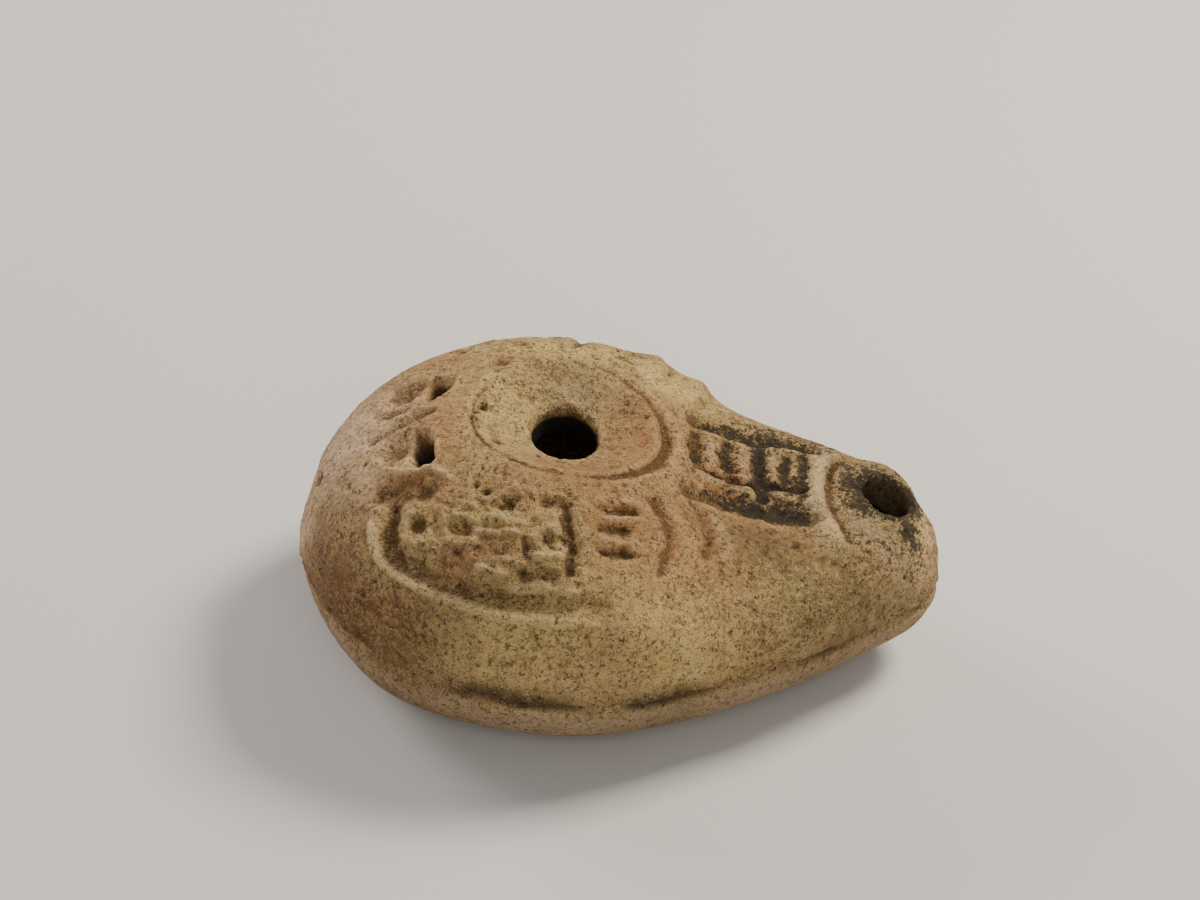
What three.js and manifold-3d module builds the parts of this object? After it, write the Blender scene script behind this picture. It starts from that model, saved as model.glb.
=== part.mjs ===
import * as THREE from 'three';
import { mergeVertices } from 'three/addons/utils/BufferGeometryUtils.js';
import Module from 'manifold-3d';

// An ancient mould-made oil lamp of fired clay, in millimetres.
// +X points to the nozzle, +Z up, and the origin is under the middle of the lamp on the table.

// Plan: an egg with its narrow end at the nozzle
const LENGTH = 90;
const WIDTH = 65.6;
const EGG_POWER = 1.73;
const EGG_TAPER = 0.3;

// Dome of the upper half, over the seam where the two moulded halves meet
const SEAM_HEIGHT = 13.3;
const SEAM_LIP = 0.6;
const DOME_RISE = 24.2;
const DOME_CENTRE_X = -11.4;
const DOME_FRONT_REACH = 32.2;
const DOME_POWER = 1.83;
const SIDE_POWER = 2.74;

// Belly of the lower half, down to a low flat foot
const BELLY_POWER = 2.42;
const FOOT_HEIGHT = 1;
const FOOT_SHARE = 0.51;

// Nozzle: a nearly level ridge that runs out of the dome and drops at the tip
const NOZZLE_RISE = 13.6;
const NOZZLE_SLOPE = 0.09;
const NOZZLE_DROP_LENGTH = 12.6;
const NOZZLE_DROP_POWER = 2.8;
const NOZZLE_BLEND = 7;
const WICK_MOUND = 0.5;
const WICK_MOUND_RADIUS = 7.2;

// Walls of the hollow reservoir
const WALL = 4;
const FLOOR_THICKNESS = 5;

// Filling hole in its dish, with a ring groove round the dish
const HOLE_X = -8.1;
const HOLE_RADIUS = 4.8;
const HOLE_FLARE = 0.7;
const DISH_RADIUS = 12.9;
const DISH_DEPTH = 5.5;
const RING_GROOVE_WIDTH = 1.5;
const RING_GROOVE_DEPTH = 0.9;

// Wick hole, set back from the tip of the nozzle
const WICK_SETBACK = 8.6;
const WICK_Y = -0.6;
const WICK_RADIUS = 3.6;
const WICK_FLARE = 0.6;

// Two pits pinched into the rear of the dome, where the handle broke away
const SCAR_X = -27.2;
const SCAR_Y = 1.1;
const SCAR_SPREAD = 14;
const SCAR_RADIUS = 1.9;
const SCAR_STRETCH = 1.5;
const SCAR_DEPTH = 3;
const SCAR_TURN = 0.25;

// Carving: a groove's depth, and its floor and its mouth as shares of its width
const GROOVE_DEPTH = 1.1;
const SHALLOW_DEPTH = 0.7;
const GROOVE_FLOOR = 0.5;
const GROOVE_MOUTH = 1.4;
const GROOVE_END = 0.45;

// Framed panel on each shoulder. A place is [x from the filling hole, in from the lamp's edge]
const FRAME = {
  path: [[-22.1, 9.5], [-23, 6.7], [-22.5, 5], [-20.7, 3.9], [-17.5, 3.4], [-9, 3], [0, 3.1], [4.2, 3.3]],
  width: 2.3,
};
const DIVIDER = { path: [[0.5, 15.1], [1, 11.3], [1.2, 5.7]], width: 1.5 };
const STROKES = { count: 3, from: 4.7, to: 10.2, first: 8.2, spacing: 3.3, lean: 0.4, width: 1.6 };
const SHOULDER_ARCS = [
  { path: [[12.3, 16.9], [13.2, 14.7], [14, 11.8], [13.8, 8.9], [13.4, 7]], width: 1.3 },
  { path: [[17.8, 16.6], [19.2, 12.9], [20.2, 9.4], [20.3, 6.9]], width: 1.5 },
];
const PANEL_MARKS = [
  { path: [[-25, 11.4], [-21.4, 11.4], [-17.6, 12.2]], width: 2.4 },
  { path: [[-20.2, 8.4], [-18.4, 8]], width: 2.4 },
  { path: [[-14, 9.6], [-11.8, 8.4]], width: 1.4 },
  { path: [[-11, 7.1], [-7.2, 6.7]], width: 1.4 },
  { path: [[-8.2, 13.6], [-5.8, 12.8]], width: 2 },
  { path: [[-4.9, 9.4], [-4.9, 7]], width: 1.1 },
  { path: [[-4.6, 5.7], [-0.6, 5.3]], width: 1.4 },
  { path: [[-3.3, 14.9], [0.2, 14.2]], width: 1.2 },
  { path: [[-2.6, 9.4], [-0.6, 9]], width: 1.8 },
];

// Ladder on the nozzle, from the dish to the collar. A place is [share of that way, y]
const LADDER_GAP = 1.8;
const LADDER_RAILS = [
  { path: [[0.08, 8.4], [0.5, 9.2], [0.88, 8.4]], width: 2.6 },
  { path: [[0.08, -3.5], [0.35, -1.9], [0.65, -1.7], [0.83, -1.9]], width: 1.5 },
  { path: [[0.04, -9.4], [0.35, -7], [0.6, -6.8], [0.92, -7.2]], width: 3 },
];
const LADDER_RUNGS = [
  { path: [[0.06, -3.6], [0.06, 5.2]], width: 2 },
  { path: [[0.31, -1.4], [0.31, 7]], width: 2.4 },
  { path: [[0.59, -4], [0.59, 7]], width: 1.6 },
  { path: [[0.75, 0], [0.75, 5.4]], width: 1.2 },
];

// Collar round the wick hole: a raised band with a groove inside it, open towards the tip
const COLLAR_RADIUS = 10.9;
const COLLAR_WIDTH = 3;
const COLLAR_HEIGHT = 0.6;
const COLLAR_GROOVE_RADIUS = 8.6;
const COLLAR_GROOVE_WIDTH = 1.4;
const COLLAR_START = 120;
const COLLAR_END = 240;
const COLLAR_POINTS = 7;

// Fineness of the faceted surfaces
const CUTTER_STEP = 2.6;
const HOLE_SIDES = 28;
const OUTSIDE_FINENESS = { spokes: 64, dishRings: 4, flankRings: 15, bellyRings: 6 };
const CAVITY_FINENESS = { spokes: 32, dishRings: 2, flankRings: 8, bellyRings: 4 };

const CLAY = { color: 0xa98a66, roughness: 0.88, metalness: 0 };

const UP = new THREE.Vector3(0, 0, 1);
const wickX = LENGTH / 2 - WICK_SETBACK;

const wasm = await Module();
wasm.setup();

// Turns a closed geometry into a solid
function solid(geometry) {
  geometry.deleteAttribute('normal');
  geometry.deleteAttribute('uv');
  const merged = mergeVertices(geometry, 1e-5);
  const vertProperties = new Float32Array(merged.attributes.position.array);
  const triVerts = new Uint32Array(merged.index.array);
  return new wasm.Manifold(new wasm.Mesh({ numProp: 3, vertProperties, triVerts }));
}

// Quarter of a superellipse: 1 at the middle, 0 at the end
function arch(share, power) {
  return Math.max(0, 1 - Math.abs(share) ** power) ** (1 / power);
}

// Point of a superellipse at an angle from its upright axis, as [across, up]
function archPoint(angle, power) {
  const across = Math.abs(Math.sin(angle));
  const up = Math.abs(Math.cos(angle));
  const size = (across ** power + up ** power) ** (-1 / power);
  return [across * size, up * size];
}

function eggWidth(share) {
  return arch(share, EGG_POWER) * (1 - EGG_TAPER * share);
}

const eggPeak = Math.max(...Array.from({ length: 401 }, (_, i) => eggWidth(i / 200 - 1)));

// Half the width at x of the skin that lies this far inside the outer one
function halfWidth(x, inset = 0) {
  const share = THREE.MathUtils.clamp(x / (LENGTH / 2 - inset), -1, 1);
  return ((WIDTH / 2 - inset) * eggWidth(share)) / eggPeak;
}

// Height over the seam along the middle line: the dome, joined smoothly to the nozzle's ridge
function crownRise(x, inset) {
  const tip = LENGTH / 2 - inset;
  const rearReach = DOME_CENTRE_X + tip;
  const domeReach = x < DOME_CENTRE_X ? rearReach : DOME_FRONT_REACH - inset;
  const domeShare = Math.min(1, Math.abs(x - DOME_CENTRE_X) / domeReach);
  const dome = (DOME_RISE - inset) * arch(domeShare, DOME_POWER);
  const dropStart = tip - NOZZLE_DROP_LENGTH;
  const dropShare = THREE.MathUtils.clamp((x - dropStart) / NOZZLE_DROP_LENGTH, 0, 1);
  const rearShare = THREE.MathUtils.clamp((DOME_CENTRE_X - x) / rearReach, 0, 1);
  const level = NOZZLE_RISE - inset + NOZZLE_SLOPE * (dropStart - x);
  const ridge = level * arch(dropShare, NOZZLE_DROP_POWER) * arch(rearShare, 2);
  return (dome ** NOZZLE_BLEND + ridge ** NOZZLE_BLEND) ** (1 / NOZZLE_BLEND);
}

// Height of the upper half's top at a place in plan, with its dish and without its carving
function topHeight(x, y, inset = 0) {
  const width = halfWidth(x, inset);
  const share = width > 1e-6 ? Math.min(1, Math.abs(y) / width) : 0;
  const fromWick = Math.hypot(x - wickX, y - WICK_Y) / WICK_MOUND_RADIUS;
  const mound = 1 + (WICK_MOUND / NOZZLE_RISE) * Math.exp(-(fromWick ** 2));
  const fromHole = Math.hypot(x - HOLE_X, y) / DISH_RADIUS;
  const dish = DISH_DEPTH * Math.max(0, 1 - fromHole ** 2);
  return SEAM_HEIGHT + crownRise(x, inset) * mound * arch(share, SIDE_POWER) - dish;
}

function surfacePoint(x, y) {
  return new THREE.Vector3(x, y, topHeight(x, y));
}

function surfaceNormal(x, y) {
  const step = 0.4;
  const alongX = surfacePoint(x + step, y).sub(surfacePoint(x - step, y));
  const alongY = surfacePoint(x, y + step).sub(surfacePoint(x, y - step));
  return alongX.cross(alongY).normalize();
}

// Joins rings of points, each ring run counterclockwise seen from the start, into one solid
function closeRings(rings, startPole, endPole) {
  const count = rings[0].length;
  const points = [startPole, ...rings.flat(), endPole];
  const at = (ring, i) => 1 + ring * count + (i % count);
  const index = [];
  for (let i = 0; i < count; i += 1) {
    index.push(0, at(0, i), at(0, i + 1));
    for (let ring = 0; ring + 1 < rings.length; ring += 1) {
      index.push(at(ring, i), at(ring + 1, i), at(ring + 1, i + 1));
      index.push(at(ring, i), at(ring + 1, i + 1), at(ring, i + 1));
    }
    index.push(points.length - 1, at(rings.length - 1, i + 1), at(rings.length - 1, i));
  }
  const geometry = new THREE.BufferGeometry().setFromPoints(points);
  geometry.setIndex(index);
  return solid(geometry);
}

// The lamp's outline in plan, measured from the filling hole
function outlineFromHole(count, inset) {
  return Array.from({ length: count }, (_, i) => {
    const angle = (2 * Math.PI * i) / count;
    const x = (LENGTH / 2 - inset) * Math.cos(angle);
    const onAxis = i === 0 || i * 2 === count;
    const y = onAxis ? 0 : halfWidth(x, inset) * Math.sign(Math.sin(angle));
    return new THREE.Vector2(x - HOLE_X, y);
  });
}

// Rings over the top: circles in the dish and its groove, then shares of the way to the outline
function topRings(outline, inset, circles, flankRings) {
  const ring = (reachOf, sunk = 0) => outline.map((end) => {
    const place = end.clone().setLength(reachOf(end));
    const x = HOLE_X + place.x;
    return new THREE.Vector3(x, place.y, topHeight(x, place.y, inset) - sunk);
  });
  const rings = circles.map(({ radius, sunk }) => ring(() => radius, sunk));
  const rim = circles.at(-1).radius;
  const startShare = Math.min(0.8, (2 * rim) / WIDTH);
  const startAngle = Math.atan2(startShare, arch(startShare, SIDE_POWER));
  for (let i = 1; i < flankRings; i += 1) {
    const angle = THREE.MathUtils.lerp(startAngle, Math.PI / 2, i / flankRings);
    const share = (archPoint(angle, SIDE_POWER)[0] - startShare) / (1 - startShare);
    rings.push(ring((end) => THREE.MathUtils.lerp(rim, end.length(), share)));
  }
  rings.push(outline.map((end) => new THREE.Vector3(HOLE_X + end.x, end.y, SEAM_HEIGHT)));
  return rings;
}

// Rings under the seam, in to the edge of the foot
function bellyRings(outline, count, lip, floorHeight) {
  const rings = [];
  const top = SEAM_HEIGHT - lip;
  for (let i = lip > 0 ? 0 : 1; i <= count; i += 1) {
    const [depth, across] = archPoint((Math.PI / 2) * (i / count), BELLY_POWER);
    const height = THREE.MathUtils.lerp(top, floorHeight, depth);
    const share = THREE.MathUtils.lerp(FOOT_SHARE, 1, across);
    rings.push(outline.map((end) => {
      const place = end.clone().setLength(end.length() * share - lip);
      return new THREE.Vector3(HOLE_X + place.x, place.y, height);
    }));
  }
  return rings;
}

function poleOf(ring) {
  return new THREE.Vector3(HOLE_X, 0, ring.reduce((sum, point) => sum + point.z, 0) / ring.length);
}

// The lamp's outer form, not yet carved or pierced
function outerForm() {
  const { spokes, dishRings, flankRings, bellyRings: count } = OUTSIDE_FINENESS;
  const outline = outlineFromHole(spokes, 0);
  const circles = [{ radius: HOLE_RADIUS / 2, sunk: 0 }];
  for (let i = 1; i <= dishRings; i += 1) {
    const radius = THREE.MathUtils.lerp(HOLE_RADIUS + HOLE_FLARE, DISH_RADIUS, i / dishRings);
    circles.push({ radius, sunk: 0 });
  }
  circles.push({ radius: DISH_RADIUS + RING_GROOVE_WIDTH / 2, sunk: RING_GROOVE_DEPTH });
  circles.push({ radius: DISH_RADIUS + RING_GROOVE_WIDTH, sunk: 0 });
  const belly = bellyRings(outline, count, SEAM_LIP, FOOT_HEIGHT);
  const sole = belly.at(-1).map((point) => new THREE.Vector3(point.x, point.y, 0));
  const rings = [...topRings(outline, 0, circles, flankRings), ...belly, sole];
  return closeRings(rings, poleOf(rings[0]), poleOf(sole));
}

// The reservoir, a wall's thickness inside the outer form
function reservoir() {
  const { spokes, dishRings, flankRings, bellyRings: count } = CAVITY_FINENESS;
  const outline = outlineFromHole(spokes, WALL);
  const circles = Array.from({ length: dishRings }, (_, i) => (
    { radius: (DISH_RADIUS * (i + 1)) / dishRings, sunk: 0 }));
  const rings = [
    ...topRings(outline, WALL, circles, flankRings),
    ...bellyRings(outline, count, 0, FLOOR_THICKNESS),
  ];
  return closeRings(rings, poleOf(rings[0]), poleOf(rings.at(-1)));
}

// A bar laid along a path on the surface. Its section is [half width, height] below and above
function surfaceBar(path, [lowHalf, low], [highHalf, high]) {
  const plan = new THREE.CatmullRomCurve3(path.map(([x, y]) => new THREE.Vector3(x, y, 0)));
  const steps = Math.max(2, Math.round(plan.getLength() / CUTTER_STEP));
  const rings = [];
  for (let i = 0; i <= steps; i += 1) {
    const place = plan.getPointAt(i / steps);
    const centre = surfacePoint(place.x, place.y);
    const normal = surfaceNormal(place.x, place.y);
    const side = new THREE.Vector3().crossVectors(normal, plan.getTangentAt(i / steps)).normalize();
    const taper = i === 0 || i === steps ? GROOVE_END : 1;
    const corner = (half, height) => centre.clone()
      .addScaledVector(side, half * taper)
      .addScaledVector(normal, height);
    rings.push([
      corner(lowHalf, low * taper), corner(-lowHalf, low * taper),
      corner(-highHalf, high), corner(highHalf, high),
    ]);
  }
  const middle = (ring) => ring[0].clone().add(ring[2]).multiplyScalar(0.5);
  return closeRings(rings, middle(rings[0]), middle(rings.at(-1)));
}

// A groove narrows to its floor, and its cutter stands as far over the surface as it goes under
function groove(path, width, depth) {
  return surfaceBar(path, [(width / 2) * GROOVE_FLOOR, -depth], [(width / 2) * GROOVE_MOUTH, depth]);
}

// A round hole through the clay, flared at its mouth
function roundHole(mouth, direction, radius, flare) {
  const depth = WALL * 2;
  const profile = [
    [0, -depth], [radius, -depth], [radius, -flare], [radius + flare, flare / 2],
    [radius + flare, depth], [0, depth],
  ].map(([across, up]) => new THREE.Vector2(across, up));
  const geometry = new THREE.LatheGeometry(profile, HOLE_SIDES);
  geometry.rotateX(Math.PI / 2);
  geometry.applyQuaternion(new THREE.Quaternion().setFromUnitVectors(UP, direction));
  geometry.translate(mouth.x, mouth.y, mouth.z);
  return solid(geometry);
}

function fillingHole() {
  const mouth = new THREE.Vector3(HOLE_X, 0, topHeight(HOLE_X + HOLE_RADIUS, 0));
  return roundHole(mouth, UP, HOLE_RADIUS, HOLE_FLARE);
}

function wickHole() {
  return roundHole(surfacePoint(wickX, WICK_Y), surfaceNormal(wickX, WICK_Y), WICK_RADIUS, WICK_FLARE);
}

// One of the pair of oval pits; side is -1 or 1
function scarPit(side) {
  const x = SCAR_X;
  const y = SCAR_Y + (side * SCAR_SPREAD) / 2;
  const geometry = new THREE.IcosahedronGeometry(1, 2);
  geometry.scale(SCAR_RADIUS, SCAR_RADIUS * SCAR_STRETCH, SCAR_DEPTH);
  geometry.rotateZ(side * SCAR_TURN);
  geometry.applyQuaternion(new THREE.Quaternion().setFromUnitVectors(UP, surfaceNormal(x, y)));
  const place = surfacePoint(x, y);
  geometry.translate(place.x, place.y, place.z);
  return solid(geometry);
}

// The carving of one shoulder's panel; side is -1 or 1
function shoulderCuts(side) {
  const cut = ({ path, width }, depth) => groove(path.map(([along, inward]) => {
    const x = HOLE_X + along;
    return [x, side * Math.max(0, halfWidth(x) - inward)];
  }), width, depth);
  const cuts = [cut(FRAME, GROOVE_DEPTH), cut(DIVIDER, GROOVE_DEPTH)];
  for (let i = 0; i < STROKES.count; i += 1) {
    const inward = STROKES.first + i * STROKES.spacing;
    const path = [[STROKES.from, inward - STROKES.lean / 2], [STROKES.to, inward + STROKES.lean / 2]];
    cuts.push(cut({ path, width: STROKES.width }, GROOVE_DEPTH));
  }
  for (const mark of [...SHOULDER_ARCS, ...PANEL_MARKS]) {
    cuts.push(cut(mark, SHALLOW_DEPTH));
  }
  return cuts;
}

function ladderCuts() {
  const start = HOLE_X + DISH_RADIUS + RING_GROOVE_WIDTH + LADDER_GAP;
  const end = wickX - COLLAR_RADIUS;
  return [...LADDER_RAILS, ...LADDER_RUNGS].map(({ path, width }) => groove(
    path.map(([share, y]) => [THREE.MathUtils.lerp(start, end, share), y]), width, GROOVE_DEPTH));
}

// An arc about the wick hole, on the side away from the tip
function collarArc(radius) {
  return Array.from({ length: COLLAR_POINTS }, (_, i) => {
    const degrees = THREE.MathUtils.lerp(COLLAR_START, COLLAR_END, i / (COLLAR_POINTS - 1));
    const angle = THREE.MathUtils.degToRad(degrees);
    return [wickX + radius * Math.cos(angle), WICK_Y + radius * Math.sin(angle)];
  });
}

function collarBand() {
  const half = COLLAR_WIDTH / 2;
  return surfaceBar(collarArc(COLLAR_RADIUS), [half * GROOVE_MOUTH, -COLLAR_HEIGHT],
    [half * GROOVE_FLOOR, COLLAR_HEIGHT]);
}

function lampBody() {
  const cuts = [
    ...shoulderCuts(-1),
    ...shoulderCuts(1),
    ...ladderCuts(),
    groove(collarArc(COLLAR_GROOVE_RADIUS), COLLAR_GROOVE_WIDTH, SHALLOW_DEPTH),
    scarPit(-1),
    scarPit(1),
    reservoir(),
    fillingHole(),
    wickHole(),
  ];
  return cuts.reduce((body, cutter) => body.subtract(cutter), outerForm().add(collarBand()));
}

function meshOf(name, shape, finish) {
  const { vertProperties, triVerts } = shape.getMesh();
  const geometry = new THREE.BufferGeometry();
  geometry.setAttribute('position', new THREE.BufferAttribute(vertProperties, 3));
  geometry.setIndex(new THREE.BufferAttribute(triVerts, 1));
  geometry.computeVertexNormals();
  const mesh = new THREE.Mesh(geometry, new THREE.MeshStandardMaterial(finish));
  mesh.name = name;
  return mesh;
}

const lamp = new THREE.Group();
lamp.add(meshOf('lamp_body', lampBody(), CLAY));

export default lamp;
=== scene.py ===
import math

import bpy
import numpy as np
from mathutils import Matrix, Vector


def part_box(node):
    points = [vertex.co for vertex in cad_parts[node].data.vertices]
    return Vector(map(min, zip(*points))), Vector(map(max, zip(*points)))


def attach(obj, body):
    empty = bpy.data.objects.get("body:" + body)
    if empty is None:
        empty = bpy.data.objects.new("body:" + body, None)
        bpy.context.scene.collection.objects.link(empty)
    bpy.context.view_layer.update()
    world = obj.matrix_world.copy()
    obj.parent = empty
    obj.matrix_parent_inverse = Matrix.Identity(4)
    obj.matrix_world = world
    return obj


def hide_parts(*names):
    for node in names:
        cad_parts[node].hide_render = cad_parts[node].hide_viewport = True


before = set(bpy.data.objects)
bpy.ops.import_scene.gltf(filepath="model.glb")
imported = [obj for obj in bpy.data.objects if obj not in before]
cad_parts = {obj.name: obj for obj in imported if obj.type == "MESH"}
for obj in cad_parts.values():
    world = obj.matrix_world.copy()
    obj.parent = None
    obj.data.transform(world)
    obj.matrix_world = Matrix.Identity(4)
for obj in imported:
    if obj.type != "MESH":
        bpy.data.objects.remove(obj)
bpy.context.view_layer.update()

# The camera looks down on the lamp from the side, nearly level with its length, and leans a little.
# Its place was solved from the lamp's outline, seam and holes in the picture.
VIEW_ELEVATION = math.radians(35.78)
VIEW_TURN = math.radians(-0.63)
VIEW_ROLL = math.radians(3.48)
VIEW_DISTANCE = 0.380
VIEW_AIM_HEIGHT = 0.016
VIEW_AIM_RIGHT = -0.00361
VIEW_AIM_UP = 0.01222
FOCAL_PIXELS = 2708
PICTURE_PIXELS = 1200
SENSOR_WIDTH = 36


def aim_camera():
    """The camera's axes are the view direction, then a level right and its up, both turned by the
    roll."""
    back = Vector((math.sin(VIEW_TURN) * math.cos(VIEW_ELEVATION),
                   -math.cos(VIEW_TURN) * math.cos(VIEW_ELEVATION),
                   math.sin(VIEW_ELEVATION)))
    level = Vector((math.cos(VIEW_TURN), math.sin(VIEW_TURN), 0))
    upright = back.cross(level)
    right = math.cos(VIEW_ROLL) * level + math.sin(VIEW_ROLL) * upright
    up = back.cross(right)
    place = (Vector((0, 0, VIEW_AIM_HEIGHT)) + VIEW_AIM_RIGHT * level + VIEW_AIM_UP * upright
             + VIEW_DISTANCE * back)
    camera = bpy.data.objects.new("camera", bpy.data.cameras.new("camera"))
    camera.data.sensor_width = SENSOR_WIDTH
    camera.data.lens = SENSOR_WIDTH * FOCAL_PIXELS / PICTURE_PIXELS
    turn = Matrix((right, up, back)).transposed()
    camera.matrix_world = Matrix.Translation(place) @ turn.to_4x4()
    bpy.context.collection.objects.link(camera)
    bpy.context.scene.camera = camera


aim_camera()

# The body is an egg-shaped dome of clay that runs out into a nozzle, pressed in a two-part mould and
# joined at the seam. Its sizes are in millimetres, and its length comes from the solid it stands for.
MM = 0.001
low, high = np.array(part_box("lamp_body"))
LENGTH = (high[0] - low[0]) / MM
WIDTH = 65.6
EGG_POWER = 1.73
EGG_TAPER = 0.3
EGG_SAMPLES = 401
SEAM_HEIGHT = 13.3
SEAM_LIP = 0.6
DOME_RISE = 24.2
DOME_CENTRE_X = -11.4
DOME_FRONT_REACH = 32.2
DOME_POWER = 1.83
SIDE_POWER = 2.74
BELLY_POWER = 2.42
BELLY_CROWDING = 1.5
FOOT_HEIGHT = 1.0
FOOT_SHARE = 0.51
NOZZLE_RISE = 13.6
NOZZLE_SLOPE = 0.09
NOZZLE_DROP_LENGTH = 12.6
NOZZLE_DROP_POWER = 2.8
NOZZLE_BLEND = 7
WICK_MOUND = 0.5
WICK_MOUND_RADIUS = 7.2
WICK_SETBACK = 8.6
WICK_Y = -0.5
WICK_X = LENGTH / 2 - WICK_SETBACK
HOLE_X = -8.1
HOLE_RADIUS = 4.6
DISH_RADIUS = 12.9
DISH_DEPTH = 5.5


def arch(share, power):
    """(1 - |share|^power)^(1/power): 1 at the middle and 0 at the end."""
    return np.clip(1 - np.abs(share) ** power, 0, None) ** (1 / power)


def step(value, start, end):
    """0 before start, 1 after end, and 3t^2 - 2t^3 between."""
    t = np.clip((value - start) / (end - start), 0, 1)
    return t * t * (3 - 2 * t)


def half_width(x, inset=0.0):
    """Half the egg's width at x: a superellipse times a falling line, scaled to the widest place."""
    def egg(share):
        return arch(share, EGG_POWER) * (1 - EGG_TAPER * share)
    peak = egg(np.linspace(-1, 1, EGG_SAMPLES)).max()
    return (WIDTH / 2 - inset) * egg(np.clip(x / (LENGTH / 2 - inset), -1, 1)) / peak


def crown_rise(x, inset=0.0):
    """Rise over the seam on the middle line: the dome and the nozzle's ridge, joined by a power mean."""
    tip = LENGTH / 2 - inset
    rear_reach = DOME_CENTRE_X + tip
    dome_reach = np.where(x < DOME_CENTRE_X, rear_reach, DOME_FRONT_REACH - inset)
    dome = (DOME_RISE - inset) * arch(np.minimum(1, np.abs(x - DOME_CENTRE_X) / dome_reach), DOME_POWER)
    drop_start = tip - NOZZLE_DROP_LENGTH
    drop = arch(np.clip((x - drop_start) / NOZZLE_DROP_LENGTH, 0, 1), NOZZLE_DROP_POWER)
    rear = arch(np.clip((DOME_CENTRE_X - x) / rear_reach, 0, 1), 2)
    ridge = (NOZZLE_RISE - inset + NOZZLE_SLOPE * (drop_start - x)) * drop * rear
    return (dome ** NOZZLE_BLEND + ridge ** NOZZLE_BLEND) ** (1 / NOZZLE_BLEND)


def top_height(x, y, inset=0.0):
    """Height of the upper half: the crown's rise, rounded off across, less the bowl of the dish."""
    width = half_width(x, inset)
    across = np.where(width > 1e-6, np.minimum(1, np.abs(y) / np.maximum(width, 1e-6)), 0)
    from_wick = np.hypot(x - WICK_X, y - WICK_Y) / WICK_MOUND_RADIUS
    mound = 1 + WICK_MOUND / NOZZLE_RISE * np.exp(-from_wick ** 2)
    dish = DISH_DEPTH * np.clip(1 - (np.hypot(x - HOLE_X, y) / DISH_RADIUS) ** 2, 0, None)
    return SEAM_HEIGHT + crown_rise(x, inset) * mound * arch(across, SIDE_POWER) - dish


def arch_angles(start, end, count, power, crowding=1.0):
    """Points of a superellipse, as across and up, at angles from its upright axis. The angles crowd
    at the start."""
    angle = start + (end - start) * np.linspace(0, 1, count) ** crowding
    across, up = np.abs(np.sin(angle)), np.abs(np.cos(angle))
    size = (across ** power + up ** power) ** (-1 / power)
    return across * size, up * size


def skin_rings(spokes, circles, flank_rings, belly_rings, inset, lip, floor):
    """Rings of points about the filling hole: circles in the dish, then shares of the way to the
    outline over the flank, the outline itself at the seam, and shares of the way back in below."""
    angle = 2 * np.pi * np.arange(spokes) / spokes
    end_x = (LENGTH / 2 - inset) * np.cos(angle)
    end_y = np.sign(np.round(np.sin(angle), 9)) * half_width(end_x, inset)
    reach = np.hypot(end_x - HOLE_X, end_y)
    way = np.stack([(end_x - HOLE_X) / reach, end_y / reach])
    rim = circles[-1]
    start = 2 * rim / WIDTH
    start_angle = math.atan2(start, float(arch(start, SIDE_POWER)))
    across = arch_angles(start_angle, np.pi / 2, flank_rings + 1, SIDE_POWER)[0][1:-1]
    even = np.linspace(0, 1, flank_rings + 1)[1:-1]
    share = (even + (across - start) / (1 - start)) / 2
    radius = np.concatenate([np.repeat(circles[:, None], spokes, 1),
                             rim + (reach - rim) * share[:, None]])
    x, y = HOLE_X + radius * way[0], radius * way[1]
    top = np.stack([x, y, top_height(x, y, inset)], -1)
    seam = np.stack([end_x, end_y, np.full(spokes, SEAM_HEIGHT)], -1)[None]
    depth, back = arch_angles(0, np.pi / 2, belly_rings, BELLY_POWER, BELLY_CROWDING)
    first = 0 if lip > 0 else 1
    depth, back = depth[first:, None], back[first:, None]
    radius = reach * (FOOT_SHARE + (1 - FOOT_SHARE) * back) - lip
    height = (SEAM_HEIGHT - lip) * (1 - depth) + floor * depth
    belly = np.stack([HOLE_X + radius * way[0], radius * way[1], height + 0 * radius], -1)
    return top, seam, belly


def closed_mesh(name, rings):
    """One closed surface over rings of points, each end closed by a point at the ring's middle."""
    count = rings.shape[1]
    points = np.concatenate([rings[:1].mean(1), rings.reshape(-1, 3), rings[-1:].mean(1)])
    ring, i = np.meshgrid(np.arange(len(rings) - 1), np.arange(count), indexing="ij")
    following = (i + 1) % count
    quads = 1 + np.stack([ring * count + i, (ring + 1) * count + i,
                          (ring + 1) * count + following, ring * count + following], -1).reshape(-1, 4)
    turn = np.arange(count)
    after = (turn + 1) % count
    last = 1 + (len(rings) - 1) * count
    caps = np.concatenate([np.stack([0 * turn, 1 + turn, 1 + after], -1),
                           np.stack([0 * turn + len(points) - 1, last + after, last + turn], -1)])
    mesh = bpy.data.meshes.new(name)
    mesh.from_pydata((points * MM).tolist(), [], quads.tolist() + caps.tolist())
    piece = bpy.data.objects.new(name, mesh)
    bpy.context.collection.objects.link(piece)
    return piece


SPOKES = 480
DISH_RINGS = 34
FLANK_RINGS = 124
BELLY_RINGS = 26
FIRST_RING_RADIUS = HOLE_RADIUS * 0.7
DISH_EDGE = 1.5
dish_circles = np.linspace(FIRST_RING_RADIUS, DISH_RADIUS + DISH_EDGE, DISH_RINGS)
top, seam, belly = skin_rings(SPOKES, dish_circles, FLANK_RINGS, BELLY_RINGS,
                              0.0, SEAM_LIP, FOOT_HEIGHT)
sole = belly[-1:] * [1, 1, 0]
body = np.concatenate([top, seam, belly, sole])
around = np.roll(body, -1, 1) - np.roll(body, 1, 1)
outward = np.cross(np.gradient(body, axis=0), around)
outward /= np.maximum(np.linalg.norm(outward, axis=-1, keepdims=True), 1e-9)
on_top = (np.arange(len(body)) < len(top))[:, None]
X, Y, Z = body[..., 0], body[..., 1], body[..., 2]

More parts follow.
